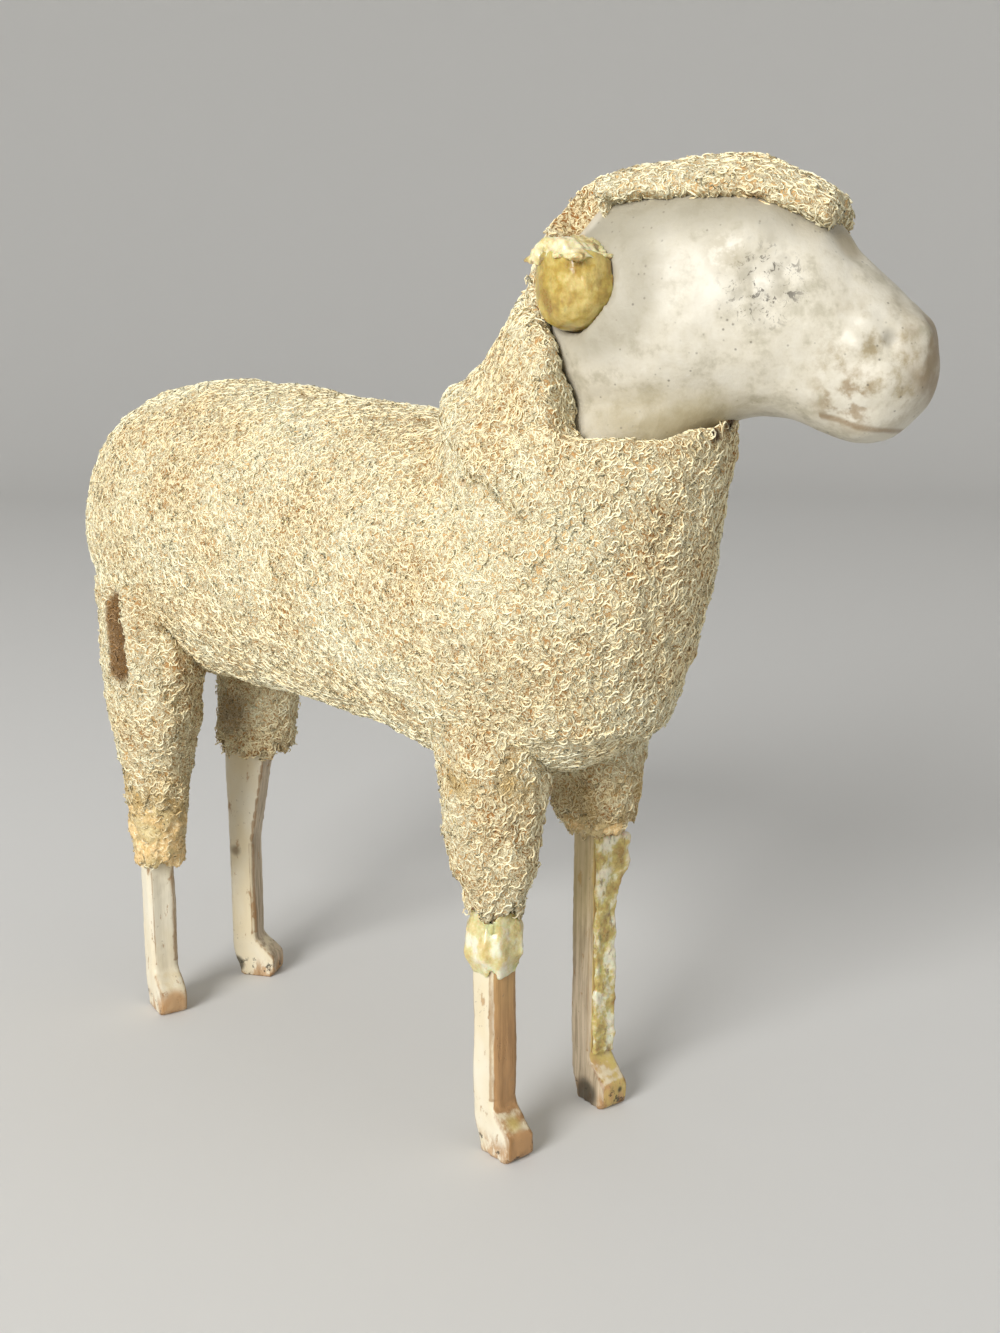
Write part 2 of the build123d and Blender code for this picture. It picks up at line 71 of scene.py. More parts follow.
class Finish:
    # a material in the making, its pattern read from the object's own place in the frame
    def __init__(self, name, **constants):
        self.material = bpy.data.materials.new(name)
        self.material.use_nodes = True
        self.tree = self.material.node_tree
        self.shader = self.tree.nodes["Principled BSDF"]
        for socket, value in constants.items():
            self.shader.inputs[socket.replace("_", " ")].default_value = value
        self.place = self.node("ShaderNodeTexCoord", out="Object")

    def node(self, kind, settings={}, values={}, out=0):
        # any node, by its type, its settings and the values or links of its sockets
        made = self.tree.nodes.new(kind)
        for key, value in settings.items():
            if key == "stops":
                ramp = made.color_ramp
                while len(ramp.elements) < len(value):
                    ramp.elements.new(0.5)
                for element, (where, colour) in zip(ramp.elements, value):
                    element.position = where
                    element.color = colour
            else:
                setattr(made, key, value)
        for key, value in values.items():
            if isinstance(value, Wire):
                self.tree.links.new(value.socket, made.inputs[key])
            else:
                made.inputs[key].default_value = value
        return Wire(self, made.outputs[out])

    def grain(self, size, detail=2.0, rough=0.5, twist=0.0, stretch=(1, 1, 1)):
        # noise whose lumps are about size millimetres across, longer where stretch is small
        place = self.node("ShaderNodeMapping", {}, {"Vector": self.place, "Scale": stretch})
        return self.node("ShaderNodeTexNoise", {}, {
            "Vector": place, "Scale": 1 / (size * mm), "Detail": detail,
            "Roughness": rough, "Distortion": twist})

    def cells(self, size):
        return self.node("ShaderNodeTexVoronoi", {}, {"Vector": self.place, "Scale": 1 / (size * mm)})

    def ramp(self, wire, low, high):
        # 0 below low, 1 above high, smooth between
        return self.node("ShaderNodeMapRange", {"interpolation_type": "SMOOTHSTEP"}, {
            "Value": wire, "From Min": low, "From Max": high})

    def fade(self, wire, high, low):
        # 0 above high, 1 below low, smooth between
        return 1 - self.ramp(wire, low, high)

    def mix(self, factor, first, second):
        return self.node("ShaderNodeMix", {"data_type": "RGBA"}, {0: factor, 6: first, 7: second}, out=2)

    def tones(self, wire, *stops):
        return self.node("ShaderNodeValToRGB", {"stops": stops}, {0: wire})

    def near(self, point, inner, outer):
        # 1 within inner millimetres of a point, 0 beyond outer
        away = self.node("ShaderNodeVectorMath", {"operation": "DISTANCE"}, {
            0: self.place, 1: [value * mm for value in point]}, out="Value")
        return self.fade(away, outer * mm, inner * mm)

    def nearAny(self, spots):
        # the same, added up over several spots
        total = self.near(*spots[0])
        for spot in spots[1:]:
            total = total + self.near(*spot)
        return total

    def maths(self, operation, first, second):
        return self.node("ShaderNodeMath", {"operation": operation}, {0: first, 1: second})

    def kept(self, name):
        # a value kept with the points of the mesh
        return self.node("ShaderNodeAttribute", {"attribute_name": name}, out="Fac")

    def height(self):
        return self.node("ShaderNodeSeparateXYZ", {}, {0: self.place}, out="Z")

    def bump(self, height, depth, strength):
        # depth in millimetres
        return self.node("ShaderNodeBump", {}, {
            "Height": height, "Distance": depth * mm, "Strength": strength})

    def done(self, **wires):
        for socket, wire in wires.items():
            self.tree.links.new(wire.socket, self.shader.inputs[socket.replace("_", " ")])
        return self.material


def tone(red, green, blue):
    # a colour as it reads on screen, 0 to 255, in Blender's own linear values
    linear = []
    for value in (red, green, blue):
        share = value / 255
        linear.append(share / 12.92 if share <= 0.04045 else ((share + 0.055) / 1.055) ** 2.4)
    return (*linear, 1)


# In every look below, a spot is a place and two radii in millimetres: the mark is full within the
# first radius and gone beyond the second
woolLook = {
    # pit is painted shade for the pits between fibres; the other tones are the wool's own, from tan to pale
    "pit": tone(156, 106, 56),
    "tan": tone(240, 204, 146),
    "cream": tone(255, 240, 196),
    "light": tone(255, 251, 222),
    # gap is painted shade, near black, for the gaps between the collar and the throat
    "gap": tone(58, 26, 18),
    "rust": tone(196, 150, 92),
    "soak": tone(212, 180, 116),
    # slit is painted shade, brown, for the tail cleft and the inside of a hind sleeve
    "slit": tone(138, 94, 44),
    "curlSize": 0.7,
    "fibreSize": 0.28,
    "patchSize": 9.0,
    "speckSize": 2.6,
    "relief": 0.3,
    "soaked": (  # where glue has come through the wool
        ((25.5, -10.0, 47.0), 1.0, 4.5),
        ((20.0, -12.5, 46.5), 1.0, 4.0),
        ((24.0, 10.0, 40.0), 3.0, 8.0),
        ((-40.0, -12.0, 30.0), 4.0, 11.0),
        ((-50.0, -2.0, 50.0), 3.0, 10.0),
    ),
    "gaps": (  # painted shade in the gaps between the collar and the throat
        ((44.8, 0.7, 85.7), 0.5, 1.5),
        ((44.3, -1.7, 84.4), 0.4, 1.1),
    ),
    "cleft": (  # painted shade, brown, down the cleft beside the tail
        ((-38.7, -15.3, 59.6), 1.6, 3.1),
        ((-38.4, -15.4, 57.0), 1.6, 3.1),
        ((-38.1, -15.5, 54.4), 1.6, 3.1),
        ((-37.8, -15.6, 51.8), 1.6, 3.1),
    ),
    # painted shade on the inner face of the left hind sleeve, between the hind legs
    "sleeveInside": ((-38.5, 1.5, 42.0), 1.5, 6.0),
}


def makeWool(name, tinted):
    # the matted cloth or, where tinted, the curls on it, which keep a tint of their own and a painted-shade
    # value, dark at each curl's underside and light along its top
    look = woolLook
    wool = Finish(name, Roughness=0.92, Specular_IOR_Level=0.1)
    curls = wool.grain(look["curlSize"], detail=4.0, rough=0.62, twist=1.6)
    patches = wool.grain(look["patchSize"], detail=3.0)
    fibres = wool.grain(look["fibreSize"])
    # worm-like ridges lie along the middle value of a twisted noise
    worms = wool.fade(wool.maths("ABSOLUTE", curls - 0.5, 0), 0.13, 0.0)
    if tinted:
        # on the curls, crest paints shade under each fibre and light along its top
        level = wool.kept("crest") * 0.5 + wool.kept("tint") * 0.2 + curls * 0.45 + patches * 0.6 - 0.26
    else:
        # on the bare cloth the worm ridges are painted lighter and the hollows between them darker, as
        # painted shade
        level = worms * 0.5 + fibres * 0.15 + patches * 0.6 - 0.16
    colour = wool.tones(
        level, (0.12, look["pit"]), (0.34, look["tan"]), (0.58, look["cream"]), (0.86, look["light"]))
    specks = wool.ramp(wool.grain(look["speckSize"]), 0.68, 0.74)
    colour = wool.mix(specks * 0.5, colour, look["rust"])
    soak = wool.nearAny(look["soaked"]) * wool.ramp(wool.grain(look["speckSize"], detail=3.0), 0.34, 0.62)
    colour = wool.mix(soak * 0.75, colour, look["soak"])
    # painted shade darkens the gaps between the collar and the throat
    colour = wool.mix(wool.nearAny(look["gaps"]) * 0.85, colour, look["gap"])
    # painted shade, brown, in the cleft beside the tail and on the inner face of a hind sleeve
    bare = wool.near(*look["sleeveInside"]) * 0.6 + wool.nearAny(look["cleft"])
    colour = wool.mix(wool.ramp(bare, 0.1, 1.0) * 0.85, colour, look["slit"])
    ridges = worms * 0.7 + fibres * 0.3
    return wool.done(
        Base_Color=colour, Normal=wool.bump(ridges, look["relief"], 0.2 if tinted else 0.9))


woolBase = makeWool("matted wool", False)
woolCurl = makeWool("wool curls", True)

gessoLook = {
    "light": tone(209, 203, 187),
    "mid": tone(203, 196, 178),
    "dull": tone(180, 173, 153),
    "grey": tone(156, 149, 130),
    "olive": tone(150, 134, 100),
    "jaw": tone(146, 132, 94),
    "brown": tone(134, 108, 72),
    "black": tone(78, 72, 60),
    "cloudSize": 7.0,
    "mottleSize": 1.9,
    "speckSize": 0.9,
    "relief": 0.16,
    "crownGrey": {"low": 103.0, "high": 107.5, "ragged": 3},
    "jawYellow": {"low": 88.0, "high": 93.5, "ragged": 5},
}

gessoSpots = {
    "ear": ((34.0, -9.5, 99.0), 5.5, 9.5),
    "bareCrown": ((30.1, -5.3, 106.0), 1.6, 2.8),
    "jaw": ((40.5, -4.0, 86.0), 4.0, 11.0),
    "eye": ((50.3, -3.9, 98.6), 1.8, 5.4),
    "eyeStain": ((50.0, -4.0, 99.0), 2.0, 6.0),
    "brow": ((46.8, -5.2, 101.6), 0.8, 3.2),
    "noseEdge": ((63.5, 7.5, 92.0), 3.0, 7.0),
    "muzzle": ((59.5, 1.5, 91.0), 3.0, 8.5),
    "nostril": ((60.1, 2.2, 93.7), 0.2, 1.3),
    "forehead": ((54.8, 4.0, 102.6), 0.8, 2.6),
    "lip": ((57.0, 0.8, 87.9), 1.0, 4.2),
}


def makeGesso():
    look = gessoLook
    gesso = Finish("gesso", Specular_IOR_Level=0.35, Coat_Roughness=0.3)
    spot = {name: gesso.near(*where) for name, where in gessoSpots.items()}
    clouds = gesso.grain(look["cloudSize"], detail=4.0, rough=0.6)
    mottle = gesso.grain(look["mottleSize"], detail=4.0, rough=0.65)
    colour = gesso.tones(clouds * 0.5 + mottle * 0.5, (0.4, look["dull"]), (0.49, look["mid"]),
                         (0.58, look["light"]))
    # greyish under the crown and round the ear; low on the jaw yellowed, and darkened as painted shade
    # under the chin
    band = look["crownGrey"]
    crown = gesso.ramp(gesso.height() + mottle * (band["ragged"] * mm), band["low"] * mm, band["high"] * mm)
    colour = gesso.mix(crown * 0.75, colour, look["grey"])
    colour = gesso.mix(spot["ear"] * 0.75, colour, look["grey"])
    colour = gesso.mix(spot["bareCrown"] * 0.85, colour, look["light"])
    # the jaw's yellowing, with painted shade under the chin
    band = look["jawYellow"]
    low = gesso.fade(gesso.height() + clouds * (band["ragged"] * mm), band["high"] * mm, band["low"] * mm)
    colour = gesso.mix(low * spot["jaw"] * 0.75, colour, look["jaw"])
    # the worn eye with a stain over it, and the brow
    stain = spot["eyeStain"] * gesso.ramp(gesso.grain(2.4, detail=4.0), 0.44, 0.6)
    colour = gesso.mix(stain * 0.6, colour, look["grey"])
    scratches = gesso.ramp(gesso.grain(1.0, detail=5.0, rough=0.8, twist=0.9), 0.54, 0.62)
    colour = gesso.mix(spot["eye"] * scratches * 0.9, colour, look["black"])
    colour = gesso.mix(spot["brow"] * 0.45 * gesso.ramp(mottle, 0.4, 0.55), colour, look["jaw"])
    # the nose's brown edge, and grime on muzzle, nostril, forehead and lip
    edge = spot["noseEdge"] * gesso.ramp(gesso.grain(3.4, detail=4.0), 0.36, 0.6)
    colour = gesso.mix(edge * 0.7, colour, look["brown"])
    grime = gesso.ramp(gesso.grain(3.0, detail=5.0, rough=0.65), 0.44, 0.66)
    colour = gesso.mix(spot["muzzle"] * grime * 0.85, colour, look["olive"])
    colour = gesso.mix(spot["nostril"] * 0.4, colour, look["black"])
    colour = gesso.mix(spot["forehead"] * 0.6, colour, look["olive"])
    lip = spot["lip"] * gesso.ramp(gesso.grain(1.5, detail=4.0), 0.42, 0.58)
    colour = gesso.mix(lip * 0.6, colour, look["brown"])
    # dark specks in patches, and painted shade along the mouth line
    patches = gesso.ramp(gesso.grain(2.4, detail=3.0), 0.46, 0.6)
    specks = gesso.fade(gesso.cells(look["speckSize"]), 0.2, 0.06) * patches
    colour = gesso.mix(specks * 0.6, colour, look["black"])
    colour = gesso.mix(gesso.ramp(gesso.kept("hollow"), 0.35, 0.9) * 0.7, colour, look["brown"])
    wear = mottle * 0.6 + gesso.grain(0.5, detail=3.0) * 0.4
    return gesso.done(
        Base_Color=colour, Roughness=mottle * 0.4 + 0.28, Coat_Weight=gesso.ramp(clouds, 0.4, 0.65) * 0.3,
        Normal=gesso.bump(wear, look["relief"], 0.7))


gesso = makeGesso()

paintLook = {
    "white": tone(224, 216, 195),
    "cream": tone(220, 206, 174),
    "yellow": tone(204, 184, 110),
    "wood": tone(188, 146, 100),
    "darkWood": tone(150, 113, 72),
    # greyWood is painted shade: a dulled wood tone for faces turned from the light
    "greyWood": tone(206, 188, 160),
    "grime": tone(140, 122, 96),
    "hoof": tone(52, 48, 38),
    "fibreSize": 0.5,
    "chipSize": 1.6,
    "patchSize": 6.0,
    "relief": 0.12,
    "toe": {"low": 3.5, "high": 5.5, "ragged": 4},
    "soaked": {"low": 26, "high": 40, "ragged": 22},
}

# Each leg's toe direction in degrees, what its front, right side and left side show, how far glue
# has run down it, and its marks: spots with their tone. greyWood is painted shade on faces turned from the
# light
legLook = {
    "front_right": {
        "turn": -10, "front": "wood", "right": "white", "left": "cream", "soak": 0.2,
        "marks": (((24.2, -8.2, 4.9), 0.5, 1.7, "yellow"), ((25.0, -8.0, 2.6), 1.0, 1.7, "wood")),
    },
    "front_left": {
        "turn": -14, "front": "yellow", "right": "greyWood", "left": "cream", "soak": 0.35,
        "marks": (((22.4, 7.6, 1.2), 1.2, 2.6, "hoof"), ((26.2, 9.6, 2.3), 0.2, 0.6, "hoof")),
    },
    "hind_right": {
        "turn": -18, "front": "white", "right": "white", "left": "greyWood", "soak": 0.1,
        "marks": (((-37.6, -10.5, 1.6), 1.4, 2.5, "wood"), ((-38.2, -10.2, 6.6), 0.4, 1.3, "grime")),
    },
    "hind_left": {
        "turn": 26, "front": "greyWood", "right": "white", "left": "greyWood", "soak": 0.0,
        "marks": (((-41.5, 4.1, 1.7), 1.0, 1.7, "hoof"), ((-41.0, 4.6, 20.0), 0.3, 1.2, "grime")),
    },
}


def makeLegPaint(name, sides):
    look = paintLook
    paint = Finish("worn paint " + name, Roughness=0.55, Specular_IOR_Level=0.35)
    fibres = paint.grain(look["fibreSize"], detail=4.0, rough=0.6, stretch=(1, 1, 0.06))
    chips = paint.grain(look["chipSize"], detail=5.0, rough=0.7, stretch=(1, 1, 0.4))
    patches = paint.grain(look["patchSize"], detail=3.0, stretch=(1, 1, 0.5))
    facing = paint.node("ShaderNodeNewGeometry", out="Normal")

    def towards(angle):
        # 1 where the surface faces that way, with a worn border
        way = (math.cos(math.radians(angle)), math.sin(math.radians(angle)), 0)
        share = paint.node("ShaderNodeVectorMath", {"operation": "DOT_PRODUCT"}, {0: facing, 1: way},
                           out="Value")
        return paint.ramp(share + chips * 0.5, 0.86, 0.98)

    def shade(kind):
        if kind == "wood":
            return paint.tones(fibres + patches * 0.3, (0.4, look["darkWood"]), (0.8, look["wood"]))
        # painted shade: wood dulled towards grime on faces turned from the light
        if kind == "greyWood":
            return paint.tones(fibres + patches * 0.3, (0.4, look["grime"]), (0.75, look["greyWood"]))
        if kind == "yellow":
            return paint.tones(patches * 0.6 + chips * 0.4, (0.36, look["wood"]), (0.5, look["yellow"]),
                               (0.62, look["cream"]))
        return paint.mix(paint.ramp(patches, 0.35, 0.65), look["cream"], look[kind])

    colour = shade("cream")
    for side, angle in (("front", 0), ("right", -90), ("left", 90)):
        colour = paint.mix(towards(sides["turn"] + angle), colour, shade(sides[side]))
    # paint flaked to the wood in places, and worn off the toe, with what is left of a dark hoof
    flakes = paint.ramp(chips, 0.6, 0.66)
    colour = paint.mix(flakes * 0.7, colour, shade("wood"))
    band = look["toe"]
    low = paint.fade(paint.height() + chips * (band["ragged"] * mm), band["high"] * mm, band["low"] * mm)
    toe = low * paint.ramp(chips * 0.6 + patches * 0.4, 0.46, 0.54)
    colour = paint.mix(toe * 0.8, colour, shade("wood"))
    hoof = low * paint.ramp(paint.grain(1.4, detail=4.0, rough=0.7), 0.56, 0.62)
    colour = paint.mix(hoof * 0.85, colour, look["hoof"])
    band = look["soaked"]
    high = paint.ramp(paint.height() + patches * (band["ragged"] * mm), band["low"] * mm, band["high"] * mm)
    colour = paint.mix(high * sides["soak"], colour, look["yellow"])
    edges = paint.ramp(paint.kept("edge") + chips * 0.12, 0.1, 0.15)
    colour = paint.mix(edges * 0.7, colour, look["darkWood"])
    for place, inner, outer, kind in sides["marks"]:
        colour = paint.mix(paint.near(place, inner, outer) * 0.85, colour, look[kind])
    specks = paint.ramp(paint.grain(0.8, detail=4.0, rough=0.8), 0.63, 0.7)
    colour = paint.mix(specks * 0.6, colour, look["grime"])
    relief = fibres * 0.5 - flakes * 0.5
    return paint.done(Base_Color=colour, Roughness=flakes * 0.3 + 0.4,
                      Normal=paint.bump(relief, look["relief"], 0.8))


# Each glue's deep, middle and pale tone, and how much dirt it holds
glueLook = {
    "dried glue": (tone(152, 122, 50), tone(182, 156, 74), tone(203, 183, 110), 0.3),
    "pale glue": (tone(190, 168, 100), tone(216, 202, 146), tone(232, 226, 200), 0.3),
    "streaked glue": (tone(158, 128, 68), tone(198, 180, 106), tone(232, 224, 196), 0.75),
    "crumbled glue": (tone(150, 122, 66), tone(214, 198, 140), tone(238, 228, 190), 0.8),
}
glueDirt = tone(128, 102, 62)


def makeGlue(name, deep, mid, pale, dirty):
    glue = Finish(name, Roughness=0.25, Specular_IOR_Level=0.5, Coat_Roughness=0.15,
                  Coat_Weight=0.5, Subsurface_Weight=0.35, Subsurface_Scale=0.0015)
    blobs = glue.grain(2.6, detail=4.0, rough=0.65)
    colour = glue.tones(blobs, (0.34, deep), (0.48, mid), (0.6, pale))
    dirt = glue.ramp(glue.grain(1.3, detail=4.0, rough=0.7, stretch=(1, 1, 0.4)), 0.55, 0.66)
    colour = glue.mix(dirt * dirty, colour, glueDirt)
    lumps = blobs * 0.6 + glue.grain(0.7) * 0.4
    return glue.done(Base_Color=colour, Roughness=blobs * 0.5 + 0.1, Normal=glue.bump(lumps, 0.35, 0.7))


glues = {name: makeGlue(name, *tones) for name, tones in glueLook.items()}

soakedLook = {
    "deep": tone(150, 122, 72),
    "mid": tone(200, 174, 116),
    "pale": tone(230, 212, 158),
    "curlSize": 0.7,
    "poolSize": 3.0,
    "relief": 0.3,
}


def makeSoakedWool():
    # wool set hard in glue at the hem of a sleeve
    look = soakedLook
    wool = Finish("glue-soaked wool", Roughness=0.4, Specular_IOR_Level=0.5, Coat_Roughness=0.2)
    curls = wool.grain(look["curlSize"], detail=4.0, rough=0.6, twist=1.6)
    pools = wool.grain(look["poolSize"], detail=3.0)
    dry = wool.tones(curls, (0.35, woolLook["soak"]), (0.52, woolLook["tan"]), (0.68, woolLook["cream"]))
    wet = wool.tones(curls * 0.5 + pools * 0.5, (0.38, look["deep"]), (0.5, look["mid"]),
                     (0.64, look["pale"]))
    glossy = wool.ramp(pools, 0.4, 0.54)
    return wool.done(
        Base_Color=wool.mix(glossy, dry, wet), Roughness=0.85 - glossy * 0.5, Coat_Weight=glossy * 0.6,
        Normal=wool.bump(curls, look["relief"], 0.9))


soakedWool = makeSoakedWool()

bareWoodLook = {
    "dark": tone(120, 88, 54),
    "light": tone(180, 146, 102),
    "fibreSize": 0.8,
    "relief": 0.1,
}


def makeBareWood():
    look = bareWoodLook
    wood = Finish("bare wood", Roughness=0.75)
    fibres = wood.grain(look["fibreSize"], detail=4.0, stretch=(0.08, 1, 1))
    colour = wood.tones(fibres, (0.3, look["dark"]), (0.7, look["light"]))
    return wood.done(Base_Color=colour, Normal=wood.bump(fibres, look["relief"], 0.5))


finishOf = {
    "bare_wood": makeBareWood(),
    "gesso": gesso,
    "dried_glue": glues["dried glue"],
    "fleece": woolBase,
}
for part in frame["record"]["subparts"]:
    mesh = nodes[part["node"]].data
    mesh.materials.clear()
    side = part["node"].removeprefix("leg_")
    mesh.materials.append(
        makeLegPaint(side, legLook[side]) if side in legLook else finishOf[part["material_slot"]])
print("materials ready")


def formOf(mesh):
    # a mesh opened for work, with its normals up to date
    form = bmesh.new()
    form.from_mesh(mesh)
    form.normal_update()
    return form


def keepForm(form, mesh, **values):
    # the work written back, with values kept for each of its points
    form.to_mesh(mesh)
    form.free()
    for name, numbers in values.items():
        mesh.attributes.new(name, "FLOAT", "POINT").data.foreach_set("value", numbers)


def smoothFaces(mesh):
    for polygon in mesh.polygons:
        polygon.use_smooth = True


def linked(name, data):
    # a new object in the scene
    made = bpy.data.objects.new(name, data)
    scene.collection.objects.link(made)
    return made


def addPiece(name, mesh, material):
    piece = linked(name, mesh)
    mesh.materials.clear()
    mesh.materials.append(material)
    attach(piece, "root")
    print(name, len(mesh.polygons), "faces")
    return piece


def addCover(name, mesh, material, nodeNames):
    # a sculpted piece that is shown in place of its CAD nodes
    smoothFaces(mesh)
    piece = addPiece(name, mesh, material)
    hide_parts(*nodeNames)
    return piece


def evaluated(piece):
    # the mesh that a piece's modifiers give
    bpy.context.view_layer.update()
    graph = bpy.context.evaluated_depsgraph_get()
    return bpy.data.meshes.new_from_object(piece.evaluated_get(graph))


def shapedCopy(nodeNames, voxel, softening):
    # an even mesh of CAD nodes, their corners a little rounded and a tight seam closed
    form = bmesh.new()
    for nodeName in nodeNames:
        form.from_mesh(nodes[nodeName].data)
    bmesh.ops.remove_doubles(form, verts=form.verts, dist=0.001 * mm)
    mesh = bpy.data.meshes.new("formCopy")
    keepForm(form, mesh)
    helper = linked("formCopy", mesh)
    even = helper.modifiers.new("even", "REMESH")
    even.mode = "VOXEL"
    even.voxel_size = voxel * mm
    soft = helper.modifiers.new("soft", "SMOOTH")
    soft.factor = 0.5
    soft.iterations = softening
    made = evaluated(helper)
    bpy.data.objects.remove(helper)
    return made


def rub(form, verts, times, factor):
    for step in range(times):
        bmesh.ops.smooth_vert(
            form, verts=verts, factor=factor, use_axis_x=True, use_axis_y=True, use_axis_z=True)


def swell(place, size, height):
    # a rise or dip from lumps of that size
    return noise.noise(place / (size * mm)) * height


# The head's own frame, in which its throat, nose, mouth and dabs are given
headFrame = {
    "middle": (33.537, 0.023, 97.8),
    "turn": 15.0,
}

# Swells and dimples are the size and height of lumps
headShape = {
    "voxel": 0.38,
    "softening": 4,
    "throatHeight": (-17.5, -9),
    "throatLength": (-12, 19),
    "throatRubs": 40,
    "noseFrom": 26.5,
    "nostril": (26.4, 5.6, -4.8),
    "nostrilRadius": 2,
    "noseRubs": 25,
    "rubbing": 0.6,
    "swells": (5, 0.28),
    "dimples": (1.7, 0.09),
    "mouthBack": 20.5,
    "mouthUp": -11.4,
    "mouthDrop": 13.0,
    "mouthWidth": 0.7,
    "mouthRunOut": 0.5,
}

# Dabs on the head in its own frame, in millimetres: place, radius and height, alike on both sides
headDabs = (
    ((15.2, 8.2, 1.4), 5.0, -0.55),
    ((15.8, 8.0, 1.0), 1.9, 0.25),
    ((14.0, 6.5, 6.6), 4.0, 0.5),
    ((21.8, 2.5, 4.6), 3.2, -0.5),
    ((7.5, 8.8, -5.0), 6.0, 0.35),
    ((19.5, 7.0, -5.5), 4.5, -0.35),
    ((26.4, 4.9, -4.0), 1.3, -0.28),
    ((26.9, 4.3, -5.0), 1.0, -0.2),
    ((23.6, 6.4, -4.7), 1.7, 0.35),
    ((24.6, 6.0, -2.4), 1.5, 0.25),
    ((25.8, 5.6, -7.6), 3.4, 0.45),
    ((28.6, 2.5, -3.0), 2.6, 0.35),
    ((24.0, 4.5, -13.2), 3.0, 0.4),
)


def sideAway(at, spot):
    # how far a place of the head is from a spot or from its mirror image
    return (Vector((at.x, abs(at.y), at.z)) - Vector(spot)).length


def makeHead():
    # the cast head with its eyes, brows, nostrils and lips modelled on, and its throat smoothed
    shape = headShape
    mesh = shapedCopy(["head"], shape["voxel"], shape["softening"])
    middle = Vector(headFrame["middle"])
    turn = Matrix.Rotation(math.radians(-headFrame["turn"]), 3, "Z")
    form = formOf(mesh)
    places = {vert: turn @ (vert.co / mm - middle) for vert in form.verts}
    (bottom, top), (back, front) = shape["throatHeight"], shape["throatLength"]
    throat = [vert for vert, at in places.items() if bottom < at.z < top and back < at.x < front]
    nose = [vert for vert, at in places.items()
            if at.x > shape["noseFrom"] or sideAway(at, shape["nostril"]) < shape["nostrilRadius"]]
    rub(form, throat, shape["throatRubs"], shape["rubbing"])
    rub(form, nose, shape["noseRubs"], shape["rubbing"])
    form.normal_update()
    slope = math.tan(math.radians(shape["mouthDrop"]))
    mouthShades = []
    for vert in form.verts:
        at = places[vert]
        lift = sum(noise.noise(at / size) * height for size, height in (shape["swells"], shape["dimples"]))
        for spot, radius, height in headDabs:
            away = sideAway(at, spot) / radius
            if away < 1:
                lift += height * (1 - away * away) ** 2
        vert.co += vert.normal * (lift * mm)
        # the mouth is a line of painted shade, kept as a value along it, not cut in
        mouth = shape["mouthUp"] - (at.x - shape["mouthBack"]) * slope
        inMouth = at.x > shape["mouthBack"] - shape["mouthRunOut"]
        mouthShades.append(max(1 - abs(at.z - mouth) / shape["mouthWidth"], 0) if inMouth else 0)
    keepForm(form, mesh, hollow=mouthShades)
    addCover("castHead", mesh, gesso, ["head"])


# Grain and nicks are the size and height of lumps, and the grain is drawn out along the leg
legShape = {
    "voxel": 0.3,
    "softening": 2,
    "foot": (0.5, 7),
    "footRubs": 6,
    "rubbing": 0.5,
    "flatSole": 0.4,
    "grain": (2.2, 0.2),
    "nicks": (0.9, 0.05),
    "grainStretch": 0.25,
}


def makeWornLeg(name, nodeName):
    # a whittled leg, its edges worn and its toe rubbed round
    shape = legShape
    mesh = shapedCopy([nodeName], shape["voxel"], shape["softening"])
    form = formOf(mesh)
    low, high = shape["foot"]
    foot = [vert for vert in form.verts if low * mm < vert.co.z < high * mm]
    rub(form, foot, shape["footRubs"], shape["rubbing"])
    form.normal_update()
    edges = []  # how sharply the surface bends at each point
    for vert in form.verts:
        ring = [link.other_vert(vert).co for link in vert.link_edges]
        middle = sum(ring, Vector()) / len(ring)
        edges.append((vert.co - middle).dot(vert.normal) / (shape["voxel"] * mm))
    for vert in form.verts:
        along = Vector((vert.co.x, vert.co.y, vert.co.z * shape["grainStretch"]))
        lift = swell(along, *shape["grain"]) + swell(vert.co, *shape["nicks"])
        if vert.co.z > shape["flatSole"] * mm:
            vert.co += vert.normal * (lift * mm)
    keepForm(form, mesh, edge=edges)
    addCover(name, mesh, nodes[nodeName].data.materials[0], [nodeName])


# Each glue piece: the height and size of its lumps, the size of its mesh cells, how far its flat
# top is drawn up into a dome, and its material
earGlue = {"lift": 0.22, "lumps": 2.2, "voxel": 0.24, "dome": 1.9, "finish": "dried glue"}
collarGlue = {"lift": 0.4, "lumps": 3.0, "voxel": 0.24, "dome": 0, "finish": "pale glue"}
runGlue = {"lift": 0.34, "lumps": 1.6, "voxel": 0.2, "dome": 0, "finish": "streaked glue"}
smallLumps = (0.35, 0.4)  # size and height of the small lumps, as shares of the large ones
topBand = 0.5  # what lies this near the top counts as the flat top
glueSoftening = 4


def makeGlueLump(name, nodeName, look):
    mesh = shapedCopy([nodeName], look["voxel"], glueSoftening)
    form = formOf(mesh)
    smallSize, smallHeight = smallLumps
    moves = []
    for vert in form.verts:
        lumps = swell(vert.co, look["lumps"], 1) + swell(vert.co, look["lumps"] * smallSize, smallHeight)
        moves.append(vert.normal * (lumps * look["lift"] * mm))
    middle = sum((vert.co for vert in form.verts), Vector()) / len(form.verts)
    turn = math.radians(headFrame["turn"])
    along = Vector((math.cos(turn), math.sin(turn), 0))
    half = max(abs((vert.co - middle).dot(along)) for vert in form.verts)
    top = max(vert.co.z for vert in form.verts)
    for vert, move in zip(form.verts, moves):
        if vert.co.z > top - topBand * mm:
            share = (vert.co - middle).dot(along) / half
            vert.co.z += look["dome"] * math.sqrt(max(1 - share * share, 0)) * mm
        vert.co += move
    keepForm(form, mesh)
    addCover(name, mesh, glues[look["finish"]], [nodeName])


